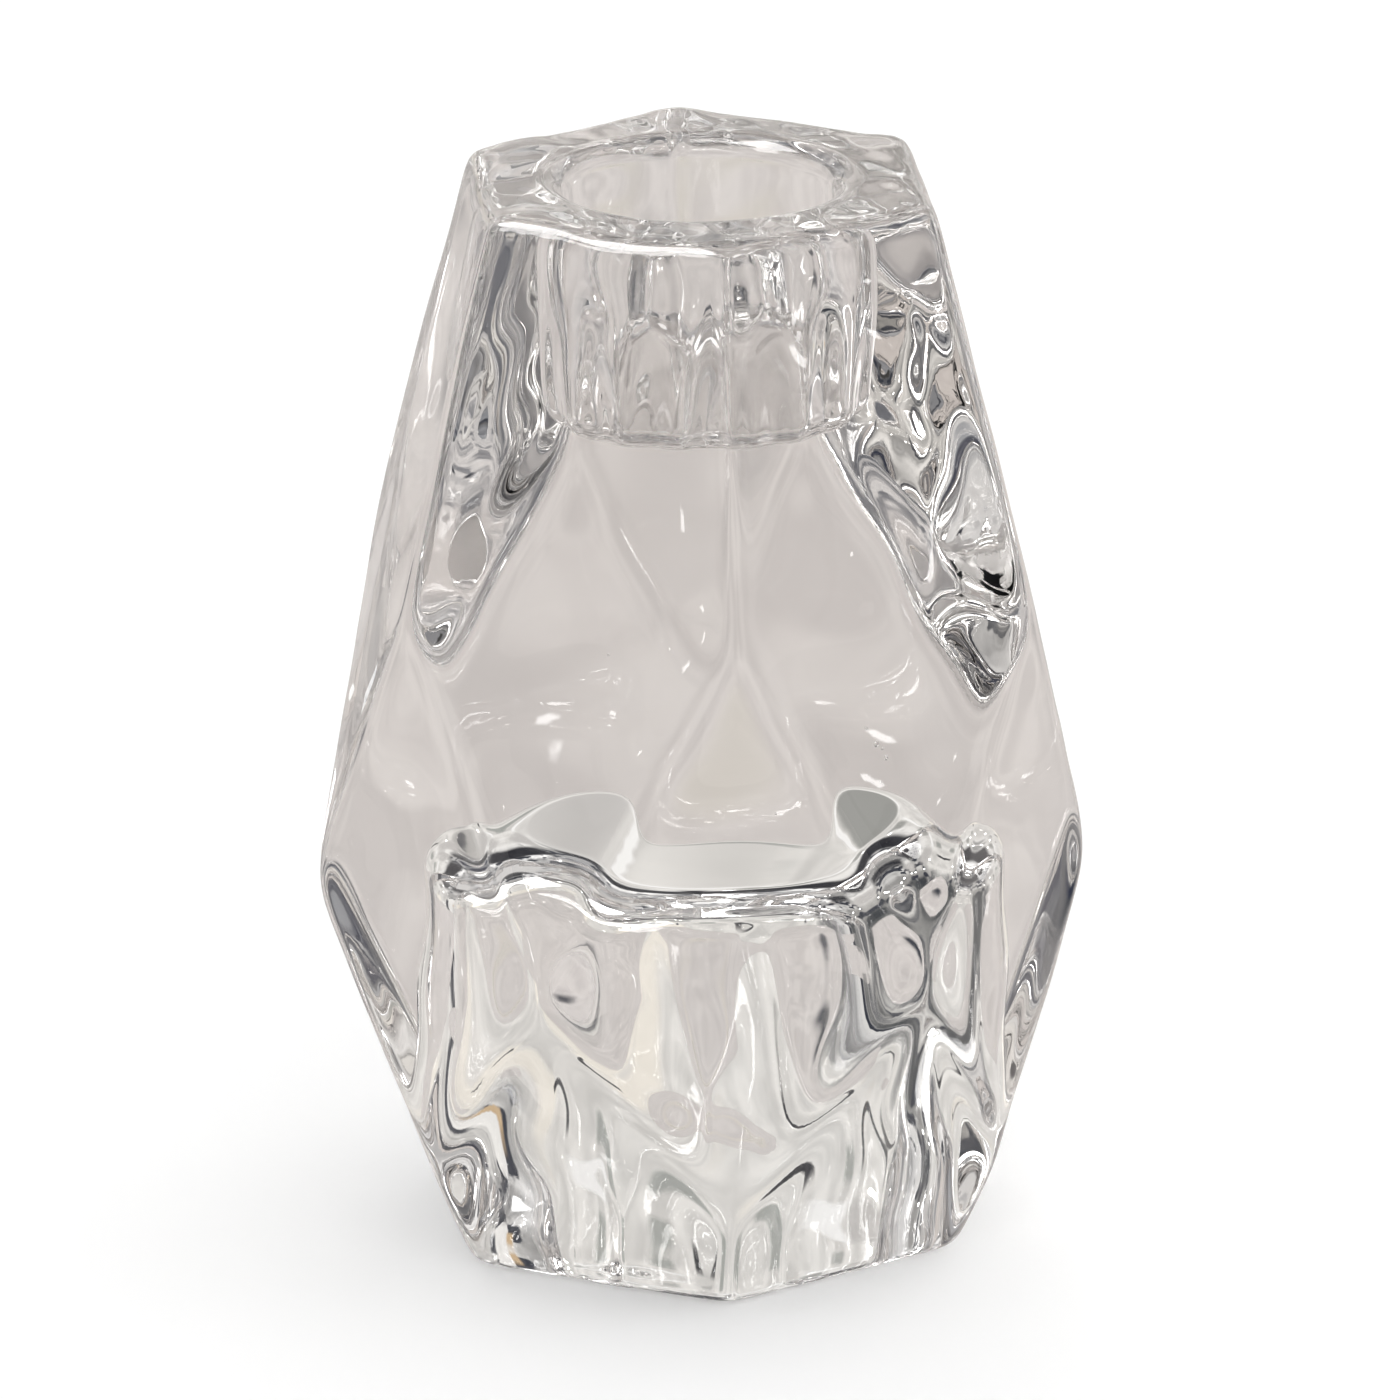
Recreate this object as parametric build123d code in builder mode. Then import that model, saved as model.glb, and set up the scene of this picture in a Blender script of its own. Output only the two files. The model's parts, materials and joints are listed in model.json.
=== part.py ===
from build123d import *

import os
from math import atan2, cos, degrees, radians, tan

# A pressed-glass candlestick in one piece: an upright hexagonal block whose six corners are sliced
# off towards the rim and towards the foot, with a round socket for a taper candle in its top and
# a round pressing hollow under its foot.
#
# Millimetres, +Z up. The origin is the centre of the resting plane, on the axis of the socket.
# Azimuths are measured from -Y, where a corner of the rim and a corner of the foot both point.

# Overall form. The upright faces look towards azimuths 0, 60, 120 ... degrees and lean out a little
# towards the top; what the slices leave of each is a kite. The slices look 30 degrees to either
# side of them. Each pair of slices meets at one girdle corner, so rim and foot are hexagons turned
# by half a side from the girdle.
SIDES = 6
SIDE_ANGLE = 360 / SIDES
HEIGHT = 92.0
RIM_CORNER_RADIUS = 21.5
FOOT_CORNER_RADIUS = 23.6
GIRDLE_CORNER_RADIUS = 33.1
GIRDLE_HEIGHT = 30.8
FACE_LEAN = 3.3  # degrees

# Round blank that the faces are cut from, wider than any corner they leave.
BLANK_RADIUS = 50.0

# Pressed, fire-polished glass has no sharp edge.
EDGE_ROUND = 1.0

# Socket for a 22 mm taper candle: a straight band below the lip, then draft towards the floor.
SOCKET_RADIUS = 11.4
SOCKET_FLOOR_RADIUS = 9.9
SOCKET_STRAIGHT = 9.0
SOCKET_DEPTH = 21.2
SOCKET_LIP_ROUND = 2.0
SOCKET_FLOOR_ROUND = 2.6

# Pressing hollow, with draft so that the glass leaves its plunger.
HOLLOW_MOUTH_RADIUS = 17.8
HOLLOW_TOP_RADIUS = 14.6
HOLLOW_HEIGHT = 35.5
HOLLOW_LIP_ROUND = 1.0
HOLLOW_TOP_ROUND = 4.5


def cut_plane(azimuth, low, high):
    """Plane of a face that looks towards an azimuth and leans through two (reach, height) points.

    It stands one edge radius inside the glass, because the block is grown by that much later.
    """
    facing = Vector(0, -1, 0).rotate(Axis.Z, azimuth)
    sideways = facing.rotate(Axis.Z, 90)
    lean = degrees(atan2(low[0] - high[0], high[1] - low[1]))
    normal = facing.rotate(Axis(origin=(0, 0, 0), direction=sideways), -lean)
    lower_point = facing * low[0] + Vector(0, 0, low[1])
    return Plane(origin=lower_point - normal * EDGE_ROUND, x_dir=sideways, z_dir=normal)


# (reach, height) points that the faces lean through. A hexagon's side is nearer than its corner.
side_to_corner = cos(radians(SIDE_ANGLE / 2))
rim_side = (RIM_CORNER_RADIUS * side_to_corner, HEIGHT)
girdle_corner = (GIRDLE_CORNER_RADIUS, GIRDLE_HEIGHT)
foot_side = (FOOT_CORNER_RADIUS * side_to_corner, 0)
girdle_side = (GIRDLE_CORNER_RADIUS * side_to_corner, GIRDLE_HEIGHT)
leaned_out = girdle_side[0] + (HEIGHT - GIRDLE_HEIGHT) * tan(radians(FACE_LEAN))
upright_top = (leaned_out, HEIGHT)

# Each family of six faces: the azimuth of its first, then its lower and upper point.
FACE_FAMILIES = (
    (0, girdle_side, upright_top),
    (SIDE_ANGLE / 2, girdle_corner, rim_side),
    (SIDE_ANGLE / 2, foot_side, girdle_corner),
)

with BuildPart() as glass_body:
    # The block is cut one edge radius small, then grown by that radius, which rounds every edge
    # and corner and leaves each face where it belongs.
    with BuildSketch(Plane.XY.offset(EDGE_ROUND)):
        Circle(BLANK_RADIUS)
    extrude(amount=HEIGHT - 2 * EDGE_ROUND)
    for first_azimuth, low, high in FACE_FAMILIES:
        for side in range(SIDES):
            azimuth = first_azimuth + side * SIDE_ANGLE
            split(bisect_by=cut_plane(azimuth, low, high), keep=Keep.BOTTOM)
    offset(amount=EDGE_ROUND, kind=Kind.ARC)

    # Candle socket.
    with BuildSketch(Plane.XZ):
        with BuildLine():
            Polyline(
                (0, HEIGHT - SOCKET_DEPTH),
                (SOCKET_FLOOR_RADIUS, HEIGHT - SOCKET_DEPTH),
                (SOCKET_RADIUS, HEIGHT - SOCKET_STRAIGHT),
                (SOCKET_RADIUS, HEIGHT),
                (0, HEIGHT),
                close=True,
            )
        make_face()
    revolve(axis=Axis.Z, mode=Mode.SUBTRACT)
    socket_rings = glass_body.edges(Select.LAST).filter_by(GeomType.CIRCLE).sort_by(Axis.Z)
    fillet(socket_rings[0], radius=SOCKET_FLOOR_ROUND)
    fillet(socket_rings[-1], radius=SOCKET_LIP_ROUND)

    # Pressing hollow.
    with BuildSketch(Plane.XY):
        Circle(HOLLOW_MOUTH_RADIUS)
    draft = degrees(atan2(HOLLOW_MOUTH_RADIUS - HOLLOW_TOP_RADIUS, HOLLOW_HEIGHT))
    extrude(amount=HOLLOW_HEIGHT, taper=draft, mode=Mode.SUBTRACT)
    hollow_rings = glass_body.edges(Select.LAST).filter_by(GeomType.CIRCLE).sort_by(Axis.Z)
    fillet(hollow_rings[-1], radius=HOLLOW_TOP_ROUND)
    fillet(hollow_rings[0], radius=HOLLOW_LIP_ROUND)

glass_body.part.label = "glass_body"

os.makedirs("parts", exist_ok=True)
export_step(glass_body.part, "parts/glass_body.step")
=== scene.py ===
import json
import math

import bmesh
import bpy
import numpy as np
from mathutils import Matrix, Quaternion, Vector


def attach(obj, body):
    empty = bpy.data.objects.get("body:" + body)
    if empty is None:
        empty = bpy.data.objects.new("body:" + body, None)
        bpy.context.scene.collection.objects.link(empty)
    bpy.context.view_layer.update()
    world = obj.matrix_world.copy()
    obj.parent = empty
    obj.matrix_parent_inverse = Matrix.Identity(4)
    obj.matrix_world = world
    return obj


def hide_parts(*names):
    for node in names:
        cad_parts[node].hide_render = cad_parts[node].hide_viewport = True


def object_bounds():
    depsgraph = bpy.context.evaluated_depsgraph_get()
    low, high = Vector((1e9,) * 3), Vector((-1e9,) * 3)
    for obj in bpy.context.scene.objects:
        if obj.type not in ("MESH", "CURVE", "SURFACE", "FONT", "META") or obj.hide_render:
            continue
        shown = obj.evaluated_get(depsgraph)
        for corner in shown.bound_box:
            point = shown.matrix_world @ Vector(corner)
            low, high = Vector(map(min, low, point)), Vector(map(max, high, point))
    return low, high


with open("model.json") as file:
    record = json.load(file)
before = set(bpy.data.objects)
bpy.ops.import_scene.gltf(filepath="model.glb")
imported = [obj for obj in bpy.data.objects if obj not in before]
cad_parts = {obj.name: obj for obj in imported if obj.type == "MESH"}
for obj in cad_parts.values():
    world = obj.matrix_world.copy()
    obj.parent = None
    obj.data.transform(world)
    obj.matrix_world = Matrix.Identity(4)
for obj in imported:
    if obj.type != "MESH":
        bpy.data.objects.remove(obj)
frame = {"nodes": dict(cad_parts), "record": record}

# A pressed-glass candlestick on a pale floor. The glass is one closed mesh, grown from the CAD
# node's own facet planes, its socket and its hollow. It has softened edges, and it adds the mould
# waves, flutes and seed bubbles that the CAD solid leaves out.

MM = 0.001
CAD_NODE = "glass_body"
CAD_LOW, CAD_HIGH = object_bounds()
TOP = CAD_HIGH.z
CENTRE = (CAD_LOW + CAD_HIGH) / 2

TURN = 2 * math.pi

# How flat areas of the CAD mesh are told apart: least area, least triangle looked at, and how
# far two triangles of one plane may differ in direction and in distance.
LEAST_FLAT_AREA = 60 * MM * MM
LEAST_TRIANGLE = 2 * MM * MM
SAME_DIRECTION = 0.99995
SAME_PLANE = 0.05 * MM
# Part of a flat area's normal that is vertical: sides have less than the first, level ones more
# than the second.
SIDE_BELOW, LEVEL_ABOVE = 0.9, 0.99

# Mesh density: points round each ring, then rings on each stretch of the profile.
COLUMNS = 360
SOCKET_FLOOR_RINGS, SOCKET_ARC_RINGS, SOCKET_WALL_RINGS = 6, 8, 21
RIM_RINGS, UPPER_RINGS, LOWER_RINGS, LOW_EDGE_RINGS, FOOT_RINGS = 12, 91, 38, 17, 12
HOLLOW_LIP_RINGS, HOLLOW_WALL_RINGS, HOLLOW_ARC_RINGS, CEILING_RINGS = 5, 36, 13, 10
# Radius of the first and the last ring, which close the mesh on its axis.
AXIS_RING = 0.05 * MM

# Sharpness of the pressed edges, per metre: softening cuts an edge back by about 0.7 over it.
SIDE_SHARPNESS = 2100
RIM_SHARPNESS = 1500

# Sizes of the socket and the hollow that can't be read from flat faces or mounts.
SOCKET_LIP = 2.0 * MM
SOCKET_STRAIGHT = 9.0 * MM
SOCKET_FLOOR_RADIUS = 9.9 * MM
SOCKET_FLOOR_ROUND = 2.6 * MM
# Softness of the bend between the socket's straight band and its draft.
SOCKET_BEND = 0.16
HOLLOW_MOUTH = 17.8 * MM
HOLLOW_TOP_RADIUS = 14.6 * MM
HOLLOW_LIP = 1.0 * MM
HOLLOW_TOP_ROUND = 4.5 * MM

# The guide that the block's rings are aimed through: radii at the rim and the foot as parts of the
# girdle's corner radius, the girdle's height as a part of the whole height, and the part of the
# way from the foot up to the girdle where the rings stand closer.
RIM_GUIDE, FOOT_GUIDE, GIRDLE_GUIDE_HEIGHT = 0.65, 0.72, 0.335
CLOSER_PART = 0.11

# Unevenness the mould and the plungers leave in the glass: height and range of wavelengths.
FACE_WAVES = (0.035 * MM, 7 * MM, 24 * MM)
RIM_WAVES = (0.08 * MM, 3 * MM, 15 * MM)
FOOT_WAVES = (0.022 * MM, 1.8 * MM, 7 * MM)
SOCKET_WAVES = (0.05 * MM, 5 * MM, 14 * MM)
HOLLOW_WAVES = (0.16 * MM, 9 * MM, 26 * MM)
WAVES_IN_SUM = 14
FACE_SEED, RIM_SEED, FOOT_SEED, SOCKET_SEED, HOLLOW_SEED = 11, 23, 59, 31, 47
# Waves and flutes die out towards the axis, within this radius.
CALM_RADIUS = 4 * MM

# Flutes that the plunger leaves in the socket, deepest at its floor.
FLUTES = 12
FLUTE_DEPTH = 0.30 * MM
FLUTE_PHASE = 0.4

# Seed bubbles in the glass: middle and radius, in millimetres.
BUBBLES = (
    ((11.2, -25.2, 51.6), 0.16), ((12.0, -24.9, 50.1), 0.26), ((12.5, -24.6, 49.6), 0.14),
    ((12.8, -24.4, 48.7), 0.22), ((12.2, -24.7, 46.7), 0.12), ((-9.5, -23.0, 58.0), 0.11),
    ((4.0, -20.5, 44.0), 0.10), ((-19.0, -14.0, 40.0), 0.13), ((17.0, 12.0, 55.0), 0.16),
)


# ---------------------------------------------------------------- reading the frame

def mesh_array(collection, field, width):
    """One attribute of a mesh's vertices or polygons as a numpy array."""
    flat = np.empty(len(collection) * width, np.float32)
    collection.foreach_get(field, flat)
    return flat.reshape(-1, width).astype(float)


def flat_faces(mesh):
    """Every large flat area of the CAD mesh as [normal, distance, area], largest triangle first."""
    normals = mesh_array(mesh.polygons, "normal", 3)
    centres = mesh_array(mesh.polygons, "center", 3)
    areas = mesh_array(mesh.polygons, "area", 1)[:, 0]
    distances = (normals * centres).sum(1)
    groups = []
    for index in np.argsort(-areas)[:(areas > LEAST_TRIANGLE).sum()]:
        for group in groups:
            same_way = normals[index] @ group[0] > SAME_DIRECTION
            if same_way and abs(distances[index] - group[1]) < SAME_PLANE:
                group[2] += areas[index]
                break
        else:
            groups.append([normals[index], distances[index], areas[index]])
    return [group for group in groups if group[2] > LEAST_FLAT_AREA]


cad = frame["nodes"][CAD_NODE]
cad_points = mesh_array(cad.data.vertices, "co", 3)
faces = flat_faces(cad.data)
outer = [(n, d) for n, d, _ in faces if (cad_points @ n).max() < d + SAME_PLANE]
side_planes = [(n, d) for n, d in outer if abs(n[2]) < SIDE_BELOW]
socket_floor = max(d for n, d, _ in faces if n[2] > LEVEL_ABOVE and d < TOP - MM)
hollow_top = max(-d for n, d, _ in faces if n[2] < -LEVEL_ABOVE and d < -MM)
mounts = {mount["name"]: mount for mount in frame["record"]["mounts"]}
socket_radius = mounts["candle_socket"]["dims"]["r_mm"] * MM


# ---------------------------------------------------------------- unevenness of pressed glass

def waves(points, unevenness, seed):
    """Height of a surface's unevenness at points: a sum of slanted sine waves."""
    height, shortest, longest = unevenness
    random = np.random.default_rng(seed)
    total = np.zeros(len(points))
    for wavelength in np.linspace(shortest, longest, WAVES_IN_SUM):
        direction = random.normal(size=3)
        direction /= np.linalg.norm(direction)
        phase = random.uniform(0, TURN)
        total += wavelength / longest * np.sin(points @ direction * TURN / wavelength + phase)
    return total * height


# ---------------------------------------------------------------- the outside of the glass

SIDE_NORMALS = np.array([n for n, _ in side_planes])
SIDE_DISTANCES = np.array([d for _, d in side_planes])


def soft_largest(values, sharpness):
    """A smooth stand-in for the largest of each row: it melts planes together at their edges."""
    top = values.max(1, keepdims=True)
    return top[:, 0] + np.log(np.exp(sharpness * (values - top)).sum(1)) / sharpness


def outside(points):
    """How far points stand outside the soft-edged block, negative within it."""
    sides = soft_largest(points @ SIDE_NORMALS.T - SIDE_DISTANCES, SIDE_SHARPNESS)
    sides = sides + waves(points, FACE_WAVES, FACE_SEED)
    above = points[:, 2] - TOP + waves(points, RIM_WAVES, RIM_SEED)
    below = CAD_LOW.z - points[:, 2] + waves(points, FOOT_WAVES, FOOT_SEED)
    return soft_largest(np.stack([sides, above, below], 1), RIM_SHARPNESS)


ANGLES = np.arange(COLUMNS) * TURN / COLUMNS
FACING = np.stack([np.sin(ANGLES), -np.cos(ANGLES)], 1)
HALVINGS = 36


def round_ring(radius, height):
    """One ring of the mesh at a radius and a height, each a number or one value per column."""
    radius = np.broadcast_to(radius, COLUMNS)
    height = np.broadcast_to(height, COLUMNS)
    return np.column_stack([FACING * radius[:, None], height])


def block_ring(radius, height):
    """The ring where rays from the middle of the block through a guide circle leave the block."""
    heart = np.array(CENTRE)
    rays = round_ring(radius, height) - heart
    # The surface lies between these parts of each ray's length, and halving finds it.
    near, far = np.full(COLUMNS, 0.3), np.full(COLUMNS, 1.8)
    for _ in range(HALVINGS):
        middle = (near + far) / 2
        inside = outside(heart + rays * middle[:, None]) < 0
        near, far = np.where(inside, middle, near), np.where(inside, far, middle)
    return heart + rays * middle[:, None]


def arc(centre_r, centre_z, radius, start, end, steps):
    """Points of a round corner of a profile, as (radius, height)."""
    turns = np.radians(np.linspace(start, end, steps + 1))
    return [(centre_r + radius * math.cos(a), centre_z + radius * math.sin(a)) for a in turns]


def line(start, end, steps):
    """Points after start up to end, as (radius, height)."""
    start, end = np.array(start), np.array(end)
    return [tuple(start + (end - start) * step / steps) for step in range(1, steps + 1)]


def uneven_ring(radius, height, unevenness, seed, flute=0.0):
    """A round ring whose radius is disturbed by waves and by flutes."""
    ring = round_ring(radius, height)
    change = waves(ring, unevenness, seed) + flute * np.cos(FLUTES * ANGLES + FLUTE_PHASE)
    ring[:, :2] += FACING * (change * min(1.0, radius / CALM_RADIUS))[:, None]
    return ring


def socket_rings():
    """From the middle of the socket's floor up its wall and over its lip."""
    floor_edge = SOCKET_FLOOR_RADIUS - SOCKET_FLOOR_ROUND
    low, high = socket_floor + SOCKET_FLOOR_ROUND, TOP - SOCKET_LIP
    profile = [(AXIS_RING, socket_floor)]
    profile += line(profile[0], (floor_edge, socket_floor), SOCKET_FLOOR_RINGS)[:-1]
    profile += arc(floor_edge, low, SOCKET_FLOOR_ROUND, -90, 0, SOCKET_ARC_RINGS)
    for height in np.linspace(low, high, SOCKET_WALL_RINGS)[1:-1]:
        spread = socket_radius - SOCKET_FLOOR_RADIUS
        drawn_in = soft_ramp((TOP - SOCKET_STRAIGHT - height) / (TOP - SOCKET_STRAIGHT - low))
        profile.append((socket_radius - spread * drawn_in, height))
    profile += arc(socket_radius + SOCKET_LIP, high, SOCKET_LIP, 180, 90, SOCKET_ARC_RINGS)
    rings = []
    for radius, height in profile:
        depth = min(1.0, max(0.0, (high - height) / (high - low)))
        flute = FLUTE_DEPTH * depth ** 2 * min(1.0, radius / SOCKET_FLOOR_RADIUS) ** 2
        rings.append(uneven_ring(radius, height, SOCKET_WAVES, SOCKET_SEED, flute))
    return rings


def soft_ramp(value):
    """0 well below zero and value well above it, with a round bend between."""
    return SOCKET_BEND * math.log1p(math.exp(value / SOCKET_BEND))


def block_rings():
    """From the lip of the socket out over the rim, down the faces and in to the hollow's lip."""
    rim = CAD_HIGH.x * RIM_GUIDE
    girdle = (CAD_HIGH.x, TOP * GIRDLE_GUIDE_HEIGHT)
    foot = CAD_HIGH.x * FOOT_GUIDE
    above_foot = (foot + (CAD_HIGH.x - foot) * CLOSER_PART, girdle[1] * CLOSER_PART)
    profile = line((socket_radius + SOCKET_LIP, TOP), (rim, TOP), RIM_RINGS)
    profile += line((rim, TOP), girdle, UPPER_RINGS)
    profile += line(girdle, above_foot, LOWER_RINGS)
    profile += line(above_foot, (foot, 0), LOW_EDGE_RINGS)
    profile += line((foot, 0), (HOLLOW_MOUTH + HOLLOW_LIP, 0), FOOT_RINGS)[:-1]
    rings = [block_ring(r, z) for r, z in profile]
    for ring in rings:
        ring[:, 2] = np.maximum(ring[:, 2], CAD_LOW.z)
    return rings


def hollow_rings():
    """From the hollow's lip up its wall and to the middle of its top."""
    ceiling_edge = HOLLOW_TOP_RADIUS - HOLLOW_TOP_ROUND
    bend_height = hollow_top - HOLLOW_TOP_ROUND
    profile = arc(HOLLOW_MOUTH + HOLLOW_LIP, HOLLOW_LIP, HOLLOW_LIP, -90, -180, HOLLOW_LIP_RINGS)
    profile += line(profile[-1], (HOLLOW_TOP_RADIUS, bend_height), HOLLOW_WALL_RINGS)[:-1]
    profile += arc(ceiling_edge, bend_height, HOLLOW_TOP_ROUND, 0, 90, HOLLOW_ARC_RINGS)
    profile += line(profile[-1], (AXIS_RING, hollow_top), CEILING_RINGS)
    return [uneven_ring(r, z, HOLLOW_WAVES, HOLLOW_SEED) for r, z in profile]


def unit(vectors):
    return vectors / np.maximum(np.linalg.norm(vectors, axis=1, keepdims=True), 1e-12)


def field_normals(points):
    """Which way the block's surface faces at points, from the slope of its distance field."""
    step = 0.02 * MM
    return unit(np.stack([outside(points + axis * step) - outside(points - axis * step)
                          for axis in np.eye(3)], 1))


def grid_normals(rings):
    """Which way a ring mesh faces at its points, from their neighbours, air side."""
    grid = np.stack(rings)
    along = np.gradient(grid, axis=0)
    around = np.roll(grid, -1, axis=1) - np.roll(grid, 1, axis=1)
    return unit(np.cross(along, around).reshape(-1, 3))


def ball(middle, radius):
    """Points and triangles of a small sphere whose faces look inwards."""
    build = bmesh.new()
    place = Matrix.Translation(Vector(middle) * MM)
    bmesh.ops.create_icosphere(build, subdivisions=2, radius=radius * MM, matrix=place)
    build.verts.index_update()
    points = np.array([vertex.co for vertex in build.verts])
    triangles = [[vertex.index for vertex in reversed(face.verts)] for face in build.faces]
    build.free()
    return points, triangles


def skin(rings, normals, name):
    """A closed smooth mesh through rings of equal count, with the bubbles inside it."""
    count = len(rings)
    here = np.arange(COLUMNS)
    beside = (here + 1) % COLUMNS
    quads = [np.stack([k * COLUMNS + here, (k + 1) * COLUMNS + here,
                       (k + 1) * COLUMNS + beside, k * COLUMNS + beside], 1)
             for k in range(count - 1)]
    polygons = np.concatenate(quads).tolist()
    polygons.append(list(range(COLUMNS)))
    polygons.append(list(range(count * COLUMNS - 1, (count - 1) * COLUMNS - 1, -1)))
    points = [np.concatenate(rings)]
    facing = [normals]
    for middle, radius in BUBBLES:
        start = sum(len(group) for group in points)
        shell, triangles = ball(middle, radius)
        points.append(shell)
        facing.append(unit(np.array(middle) * MM - shell))
        polygons += [[start + corner for corner in triangle] for triangle in triangles]
    mesh = bpy.data.meshes.new(name)
    mesh.from_pydata(np.concatenate(points).tolist(), [], polygons)
    mesh.shade_smooth()
    mesh.normals_split_custom_set_from_vertices(np.concatenate(facing).tolist())
    piece = bpy.data.objects.new(name, mesh)
    bpy.context.scene.collection.objects.link(piece)
    return piece


inner, outer_rings, hollow = socket_rings(), block_rings(), hollow_rings()
all_rings = inner + outer_rings + hollow
all_normals = grid_normals(all_rings)
block_part = slice(len(inner) * COLUMNS, (len(inner) + len(outer_rings)) * COLUMNS)
all_normals[block_part] = field_normals(np.concatenate(outer_rings))
glass = skin(all_rings, all_normals, "candlestick_glass")
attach(glass, "root")
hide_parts(CAD_NODE)


# ---------------------------------------------------------------- materials

GLASS_IOR = 1.52
# Colour and strength, per metre, of the glass's absorption. Light that crosses 100 mm of it keeps
# about 96 percent of its red and 94 percent of its blue.
GLASS_TINT = (0.90, 0.87, 0.84, 1)
GLASS_DENSITY = 4.0
SCUFF_ROUGHNESS = 0.05
# The foot is ground to this roughness. That fades out between two heights, along a ragged edge.
GROUND_ROUGHNESS = 0.28
GROUND_LOW, GROUND_HIGH, GROUND_RAGGED = 0.6 * MM, 1.1 * MM, 1.2 * MM
# Depth of the fine unevenness of the glass's skin, which is too small for the mesh.
SKIN_DEPTH = 0.04 * MM


def new_material(name):
    material = bpy.data.materials.new(name)
    material.use_nodes = True
    return material, material.node_tree, material.node_tree.nodes["Principled BSDF"]


def node(tree, kind, inputs=None, **settings):
    """A node with its settings, and its inputs filled with values or linked to sockets."""
    made = tree.nodes.new(kind)
    for key, value in settings.items():
        setattr(made, key, value)
    for key, value in (inputs or {}).items():
        if isinstance(value, bpy.types.NodeSocket):
            tree.links.new(value, made.inputs[key])
        else:
            made.inputs[key].default_value = value
    return made


def ramp_value(tree, value, low, high, to_low, to_high):
    """A value eased from one range to another."""
    return node(tree, "ShaderNodeMapRange", {"Value": value, "From Min": low, "From Max": high,
                                             "To Min": to_low, "To Max": to_high},
                interpolation_type="SMOOTHSTEP").outputs["Result"]


def noise(tree, vector, scale, detail=2.0):
    return node(tree, "ShaderNodeTexNoise",
                {"Vector": vector, "Scale": scale, "Detail": detail}).outputs["Fac"]


def math_node(tree, operation, first, second):
    return node(tree, "ShaderNodeMath", {0: first, 1: second}, operation=operation).outputs[0]


def colour_mix(tree, fac, first, second):
    return node(tree, "ShaderNodeMix", {"Factor": fac, "A": first, "B": second},
                data_type="RGBA").outputs["Result"]


def glass_material():
    """Fire-polished soda-lime glass: faint mottling, hairline scuffs, and a ground foot ring."""
    material, tree, shader = new_material("clear_glass")
    place = node(tree, "ShaderNodeTexCoord").outputs["Object"]
    height = node(tree, "ShaderNodeSeparateXYZ", {0: place}).outputs["Z"]

    # Hairline scuffs: thin bands of stretched noise, which show only in patches.
    stretched = node(tree, "ShaderNodeMapping", {"Vector": place, "Rotation": (0.4, 0.9, 0.2),
                                                 "Scale": (1.0, 14.0, 1.0)}).outputs[0]
    hair = ramp_value(tree, noise(tree, stretched, 170.0, 3.0), 0.66, 0.72, 0.0, 1.0)
    patches = ramp_value(tree, noise(tree, place, 45.0), 0.52, 0.70, 0.0, 1.0)
    scuffs = math_node(tree, "MULTIPLY", hair, patches)
    # The foot ring is ground flat, and wear has greyed its edge.
    ragged = math_node(tree, "MULTIPLY", noise(tree, place, 260.0, 4.0), GROUND_RAGGED)
    ring_edge = math_node(tree, "ADD", height, ragged)
    ground = ramp_value(tree, ring_edge, GROUND_LOW, GROUND_HIGH, 1.0, 0.0)
    rough = math_node(tree, "ADD", math_node(tree, "MULTIPLY", scuffs, SCUFF_ROUGHNESS),
                      math_node(tree, "MULTIPLY", ground, GROUND_ROUGHNESS))

    mottling = ramp_value(tree, noise(tree, place, 38.0, 3.0), 0.35, 0.65, 0.0, 1.0)
    tint = colour_mix(tree, mottling, (0.985, 0.980, 0.975, 1), (1, 1, 1, 1))
    skin_bump = node(tree, "ShaderNodeBump", {"Strength": 0.5, "Distance": SKIN_DEPTH,
                                              "Height": noise(tree, place, 140.0, 1.0)})
    volume = node(tree, "ShaderNodeVolumeAbsorption", {"Color": GLASS_TINT,
                                                       "Density": GLASS_DENSITY})
    tree.links.new(tint, shader.inputs["Base Color"])
    tree.links.new(rough, shader.inputs["Roughness"])
    tree.links.new(skin_bump.outputs[0], shader.inputs["Normal"])
    shader.inputs["IOR"].default_value = GLASS_IOR
    shader.inputs["Transmission Weight"].default_value = 1.0
    tree.links.new(volume.outputs[0], tree.nodes["Material Output"].inputs["Volume"])
    return material


glass.data.materials.append(glass_material())


# ---------------------------------------------------------------- floor, light and camera

FLOOR_RADIUS = 4.0
FLOOR_SEEN = (0.97, 0.97, 0.97, 1)
# What the glass sees of the paper is painted shade: grey and pale behind the glass, pale and dark
# in front of it, where the dark is painted shadow of the glass near its foot.
FLOOR_BEHIND_GREY = (0.535, 0.497, 0.478, 1)
FLOOR_BEHIND_PALE = (0.640, 0.600, 0.575, 1)
FLOOR_BEFORE_PALE = (0.64, 0.615, 0.60, 1)
FLOOR_BEFORE_SHADOW = (0.11, 0.115, 0.135, 1)


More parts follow.
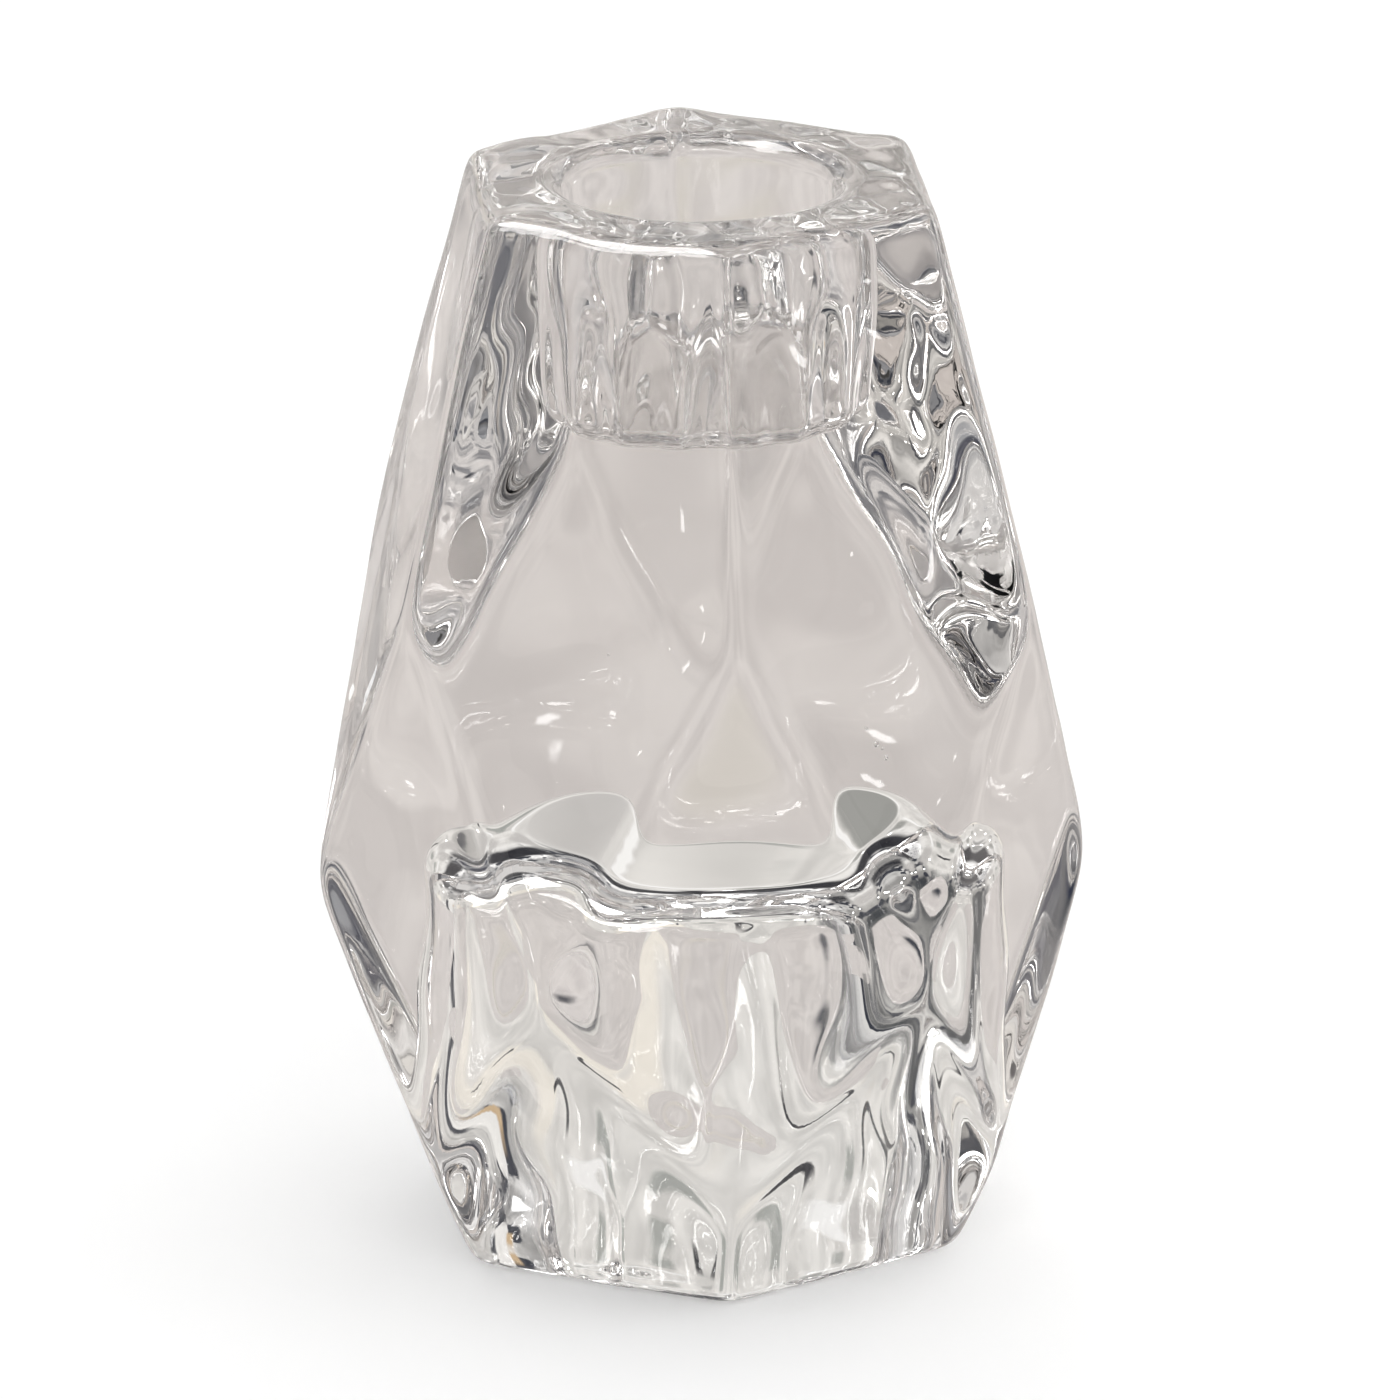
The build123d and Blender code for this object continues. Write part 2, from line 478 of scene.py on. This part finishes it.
def floor_material():
    """Pale paper. What the glass shows of it is painted shade, greyer than the paper seen straight
    on:
    cloudy behind the glass, and in front of it painted shadow in patches that fade out away from
    the foot."""
    material, tree, shader = new_material("pale_floor")
    place = node(tree, "ShaderNodeTexCoord").outputs["Object"]
    forward = node(tree, "ShaderNodeSeparateXYZ", {0: place}).outputs["Y"]
    before = ramp_value(tree, forward, -0.045, 0.02, 1.0, 0.0)
    # Painted shadow in front of the glass: dark patches, fewer away from the foot.
    patches = ramp_value(tree, noise(tree, place, 48.0, 3.0), 0.40, 0.58, 0.0, 1.0)
    away = node(tree, "ShaderNodeVectorMath", {0: place}, operation="LENGTH").outputs["Value"]
    calmer = ramp_value(tree, away, 0.08, 0.14, 0.0, 0.7)
    patches = math_node(tree, "MAXIMUM", patches, calmer)
    painted_shadow_patches = colour_mix(tree, patches, FLOOR_BEFORE_SHADOW, FLOOR_BEFORE_PALE)
    clouds = ramp_value(tree, noise(tree, place, 34.0, 2.0), 0.35, 0.65, 0.0, 1.0)
    painted_shade_behind = colour_mix(tree, clouds, FLOOR_BEHIND_GREY, FLOOR_BEHIND_PALE)
    in_glass = colour_mix(tree, before, painted_shade_behind, painted_shadow_patches)
    direct = node(tree, "ShaderNodeLightPath").outputs["Is Camera Ray"]
    tree.links.new(colour_mix(tree, direct, in_glass, FLOOR_SEEN), shader.inputs["Base Color"])
    shader.inputs["Roughness"].default_value = 0.9
    return material


def disc(name, radius, height):
    mesh = bpy.data.meshes.new(name)
    build = bmesh.new()
    bmesh.ops.create_circle(build, cap_ends=True, segments=96, radius=radius)
    build.to_mesh(mesh)
    build.free()
    thing = bpy.data.objects.new(name, mesh)
    thing.location.z = height
    bpy.context.scene.collection.objects.link(thing)
    return thing


floor = disc("floor", FLOOR_RADIUS, 0.0)
floor.data.materials.append(floor_material())

# A light tent: cloth all round, paler behind the glass and overhead, with folds and gaps in it
# except at the far back, and small lamps overhead.
TENT_FRONT = (0.22, 0.225, 0.24, 1)
TENT_BACK = (0.80, 0.78, 0.745, 1)
TENT_TOP = (0.95, 0.94, 0.93, 1)
GAP = (0.03, 0.035, 0.05, 1)
LAMP = (14.0, 13.8, 13.5, 1)
SURROUND = (1.1, 1.1, 1.1, 1)


def studio_world():
    world = bpy.data.worlds.new("studio")
    world.use_nodes = True
    tree = world.node_tree
    way = node(tree, "ShaderNodeTexCoord").outputs["Generated"]
    parts = node(tree, "ShaderNodeSeparateXYZ", {0: way}).outputs
    behind = ramp_value(tree, parts["Y"], -0.5, 0.8, 0.0, 1.0)
    far_back = ramp_value(tree, parts["Y"], 0.55, 0.85, 0.0, 1.0)
    above = ramp_value(tree, parts["Z"], 0.35, 0.95, 0.0, 1.0)
    cloth = colour_mix(tree, above, colour_mix(tree, behind, TENT_FRONT, TENT_BACK), TENT_TOP)
    upright = node(tree, "ShaderNodeMapping", {"Vector": way, "Scale": (1.0, 1.0, 0.35)})
    folds = ramp_value(tree, noise(tree, upright.outputs[0], 3.4, 4.0), 0.38, 0.62, 0.45, 1.30)
    calm = ramp_value(tree, noise(tree, way, 6.0, 2.0), 0.3, 0.7, 0.82, 1.12)
    folds = math_node(tree, "ADD", math_node(tree, "MULTIPLY", folds,
                                            math_node(tree, "SUBTRACT", 1.0, far_back)),
                      math_node(tree, "MULTIPLY", calm, far_back))
    cloth = node(tree, "ShaderNodeVectorMath", {0: cloth, "Scale": folds},
                 operation="SCALE").outputs[0]
    gaps = ramp_value(tree, noise(tree, upright.outputs[0], 7.5, 1.0), 0.55, 0.60, 0.0, 1.0)
    gaps = math_node(tree, "MULTIPLY", gaps, math_node(tree, "SUBTRACT", 1.0, far_back))
    cloth = colour_mix(tree, gaps, cloth, GAP)
    cells = node(tree, "ShaderNodeTexVoronoi", {"Vector": way, "Scale": 6.0}).outputs["Distance"]
    lamps = math_node(tree, "MULTIPLY", ramp_value(tree, cells, 0.10, 0.12, 1.0, 0.0),
                      ramp_value(tree, parts["Z"], 0.30, 0.40, 0.0, 1.0))
    cloth = colour_mix(tree, lamps, cloth, LAMP)
    rays = node(tree, "ShaderNodeLightPath").outputs
    plain = math_node(tree, "MAXIMUM", rays["Is Camera Ray"], rays["Is Diffuse Ray"])
    tree.links.new(colour_mix(tree, plain, cloth, SURROUND), tree.nodes["Background"].inputs[0])
    bpy.context.scene.world = world


studio_world()

# Softboxes, lamps and flags inside the tent, seen only in the glass: azimuth from -Y and elevation
# of the middle, width and height, all in degrees, the colour they show and, where it isn't the
# usual one, the softness of their edges.
CARD_DISTANCE = 1.6
CARDS = (
    ("key_softbox", -92, 60, 40, 30, (12.0, 12.0, 12.0), 0.2),
    ("fill_softbox", 62, 48, 9, 9, (10.0, 10.0, 10.0), 0.2),
    ("back_strip", 178, 23, 44, 4.0, (1.0, 0.99, 0.97)),
    ("left_lamp", -52, 6, 0.6, 0.6, (9.0, 9.0, 9.0)),
    ("left_upper_lamp", -45, 12, 0.5, 0.7, (9.0, 9.0, 9.0)),
    ("left_low_lamp", -57, 2, 0.5, 0.6, (9.0, 9.0, 9.0)),
    ("right_lamp", 64, 4, 0.6, 0.6, (9.0, 9.0, 9.0)),
    ("right_upper_lamp", 59, 9, 0.5, 0.6, (9.0, 9.0, 9.0)),
    ("left_flag", -72, 14, 14, 30, (0.03, 0.035, 0.06)),
    ("right_flag", 50, 16, 12, 28, (0.03, 0.035, 0.06)),
    ("left_high_flag", -44, 30, 26, 15, (0.03, 0.035, 0.06), 0.4),
    ("right_high_flag", 40, 32, 24, 14, (0.03, 0.035, 0.06), 0.4),
    ("pale_cloth", 84, 27, 40, 22, (0.70, 0.69, 0.68), 0.3),
    ("right_side_gap", 118, 6, 17, 22, (0.05, 0.055, 0.06)),
    ("left_side_gap", -128, 9, 10, 22, (0.05, 0.055, 0.07)),
    ("dark_behind", 176, 51, 64, 28, (0.03, 0.03, 0.035), 0.5),
    ("panel_behind", -168, 29, 20, 12, (0.36, 0.36, 0.34)),
    ("low_panel", 170, 15, 13, 7, (0.40, 0.41, 0.385)),
    ("left_panel", 148, 27, 30, 14, (0.58, 0.56, 0.54)),
    ("narrow_gap", -163, 10, 3.0, 15, (0.03, 0.03, 0.035)),
    ("other_gap", 154, 8, 3.0, 18, (0.03, 0.03, 0.035)),
    ("cream_side", -160, 3, 26, 14, (0.95, 0.90, 0.81)),
    ("tan_strip", -112, 16, 5, 16, (0.62, 0.45, 0.27)),
    ("edge_softbox", -68, 42, 24, 15, (8.0, 8.0, 8.0), 0.2),
    ("camera", -5.2, 18.8, 7, 6, (0.03, 0.03, 0.03)),
)

# Chips of painted light and shade on the paper, seen only in the glass: the white and cream ones
# are painted light, the dark ones painted shade. Azimuth from -Y in degrees, then distance from the
# axis, length and width in millimetres, the colour and, where it isn't the usual one, the softness.
# They lie just above the paper.
CHIP_HEIGHT = 0.3 * MM
CHIPS = (
    ("small_white_chip", -158, 190, 10, 9, (1.6, 1.6, 1.6), 0.2),
    ("cream_light_patch", 178, 178, 60, 120, (0.66, 0.62, 0.57)),
    ("dark_chip", 128, 200, 90, 60, (0.04, 0.045, 0.06)),
    ("near_dark_chip", 122, 92, 30, 24, (0.05, 0.055, 0.07)),
    ("far_dark_chip", -112, 230, 90, 70, (0.04, 0.045, 0.06)),
    ("right_shade_strip", 68, 112, 40, 9, (0.05, 0.055, 0.07)),
    ("front_shade_strip", 20, 118, 30, 8, (0.05, 0.055, 0.07)),
    ("left_shade_strip", -15, 72, 12, 7, (0.05, 0.055, 0.07)),
)


def glowing(name, across, up, colour, softness):
    """A flat rectangle about the origin that glows, fades out at its edges and shows only in the
    glass. Its softness runs from 0, hard edges, to 1, faded from the middle out."""
    material, tree, shader = new_material(name)
    tree.nodes.remove(shader)
    light = node(tree, "ShaderNodeEmission", {"Color": (*colour, 1), "Strength": 1.0})
    place = node(tree, "ShaderNodeTexCoord").outputs["Generated"]
    parts = node(tree, "ShaderNodeSeparateXYZ", {0: place}).outputs
    solid = None
    for axis in ("X", "Y"):
        from_middle = math_node(tree, "ABSOLUTE", math_node(tree, "SUBTRACT", parts[axis], 0.5), 0)
        fade = ramp_value(tree, from_middle, 0.5 - softness / 2, 0.5, 1.0, 0.0)
        solid = fade if solid is None else math_node(tree, "MULTIPLY", solid, fade)
    clear = node(tree, "ShaderNodeBsdfTransparent")
    mixed = node(tree, "ShaderNodeMixShader", {0: solid, 1: clear.outputs[0],
                                               2: light.outputs[0]})
    tree.links.new(mixed.outputs[0], tree.nodes["Material Output"].inputs["Surface"])
    mesh = bpy.data.meshes.new(name)
    mesh.from_pydata([(-across, -up, 0), (across, -up, 0), (across, up, 0), (-across, up, 0)],
                     [], [(0, 1, 2, 3)])
    mesh.materials.append(material)
    thing = bpy.data.objects.new(name, mesh)
    thing.visible_camera = False
    thing.visible_diffuse = False
    thing.visible_shadow = False
    bpy.context.scene.collection.objects.link(thing)
    return thing


def card(name, azimuth, elevation, width, height, colour, softness=0.6):
    across = CARD_DISTANCE * math.tan(math.radians(width / 2))
    up = CARD_DISTANCE * math.tan(math.radians(height / 2))
    thing = glowing(name, across, up, colour, softness)
    turn, rise = math.radians(azimuth), math.radians(elevation)
    way = Vector((math.sin(turn) * math.cos(rise), -math.cos(turn) * math.cos(rise),
                  math.sin(rise)))
    thing.location = CENTRE + way * CARD_DISTANCE
    thing.rotation_mode = "QUATERNION"
    thing.rotation_quaternion = way.to_track_quat("Z", "Y")


def chip(name, azimuth, distance, length, width, colour, softness=0.8):
    thing = glowing(name, width / 2 * MM, length / 2 * MM, colour, softness)
    turn = math.radians(azimuth)
    thing.location = (distance * MM * math.sin(turn), -distance * MM * math.cos(turn), CHIP_HEIGHT)
    thing.rotation_euler.z = turn


for card_line in CARDS:
    card(*card_line)
for chip_line in CHIPS:
    chip(*chip_line)

# The camera stands a little left of the front corner and looks down on it, with a long lens.
CAMERA_DISTANCE = 1.265
CAMERA_AZIMUTH = math.radians(-5.2)
CAMERA_ELEVATION = math.radians(18.8)
CAMERA_ROLL = math.radians(0.2)
# Width of the picture at the candlestick, in heights of the candlestick, and the lens shift.
FRAME_HEIGHTS = 1.281112738
IMAGE_SHIFT = (-0.00107142857, -0.000714285714)


def place_camera():
    data = bpy.data.cameras.new("camera")
    camera = bpy.data.objects.new("camera", data)
    bpy.context.scene.collection.objects.link(camera)
    flat = math.cos(CAMERA_ELEVATION)
    back = Vector((math.sin(CAMERA_AZIMUTH) * flat, -math.cos(CAMERA_AZIMUTH) * flat,
                   math.sin(CAMERA_ELEVATION)))
    aim = Vector((0, 0, TOP / 2))
    camera.location = aim + back * CAMERA_DISTANCE
    camera.rotation_mode = "QUATERNION"
    roll = Quaternion((0, 0, 1), -CAMERA_ROLL)
    camera.rotation_quaternion = (-back).to_track_quat("-Z", "Y") @ roll
    data.lens = data.sensor_width * CAMERA_DISTANCE / (FRAME_HEIGHTS * TOP)
    data.shift_x, data.shift_y = IMAGE_SHIFT
    data.clip_start, data.clip_end = 0.01, 100
    bpy.context.scene.camera = camera


place_camera()

scene = bpy.context.scene
scene.view_settings.view_transform = "Standard"
scene.cycles.max_bounces = 24
scene.cycles.transmission_bounces = 24
scene.cycles.glossy_bounces = 12
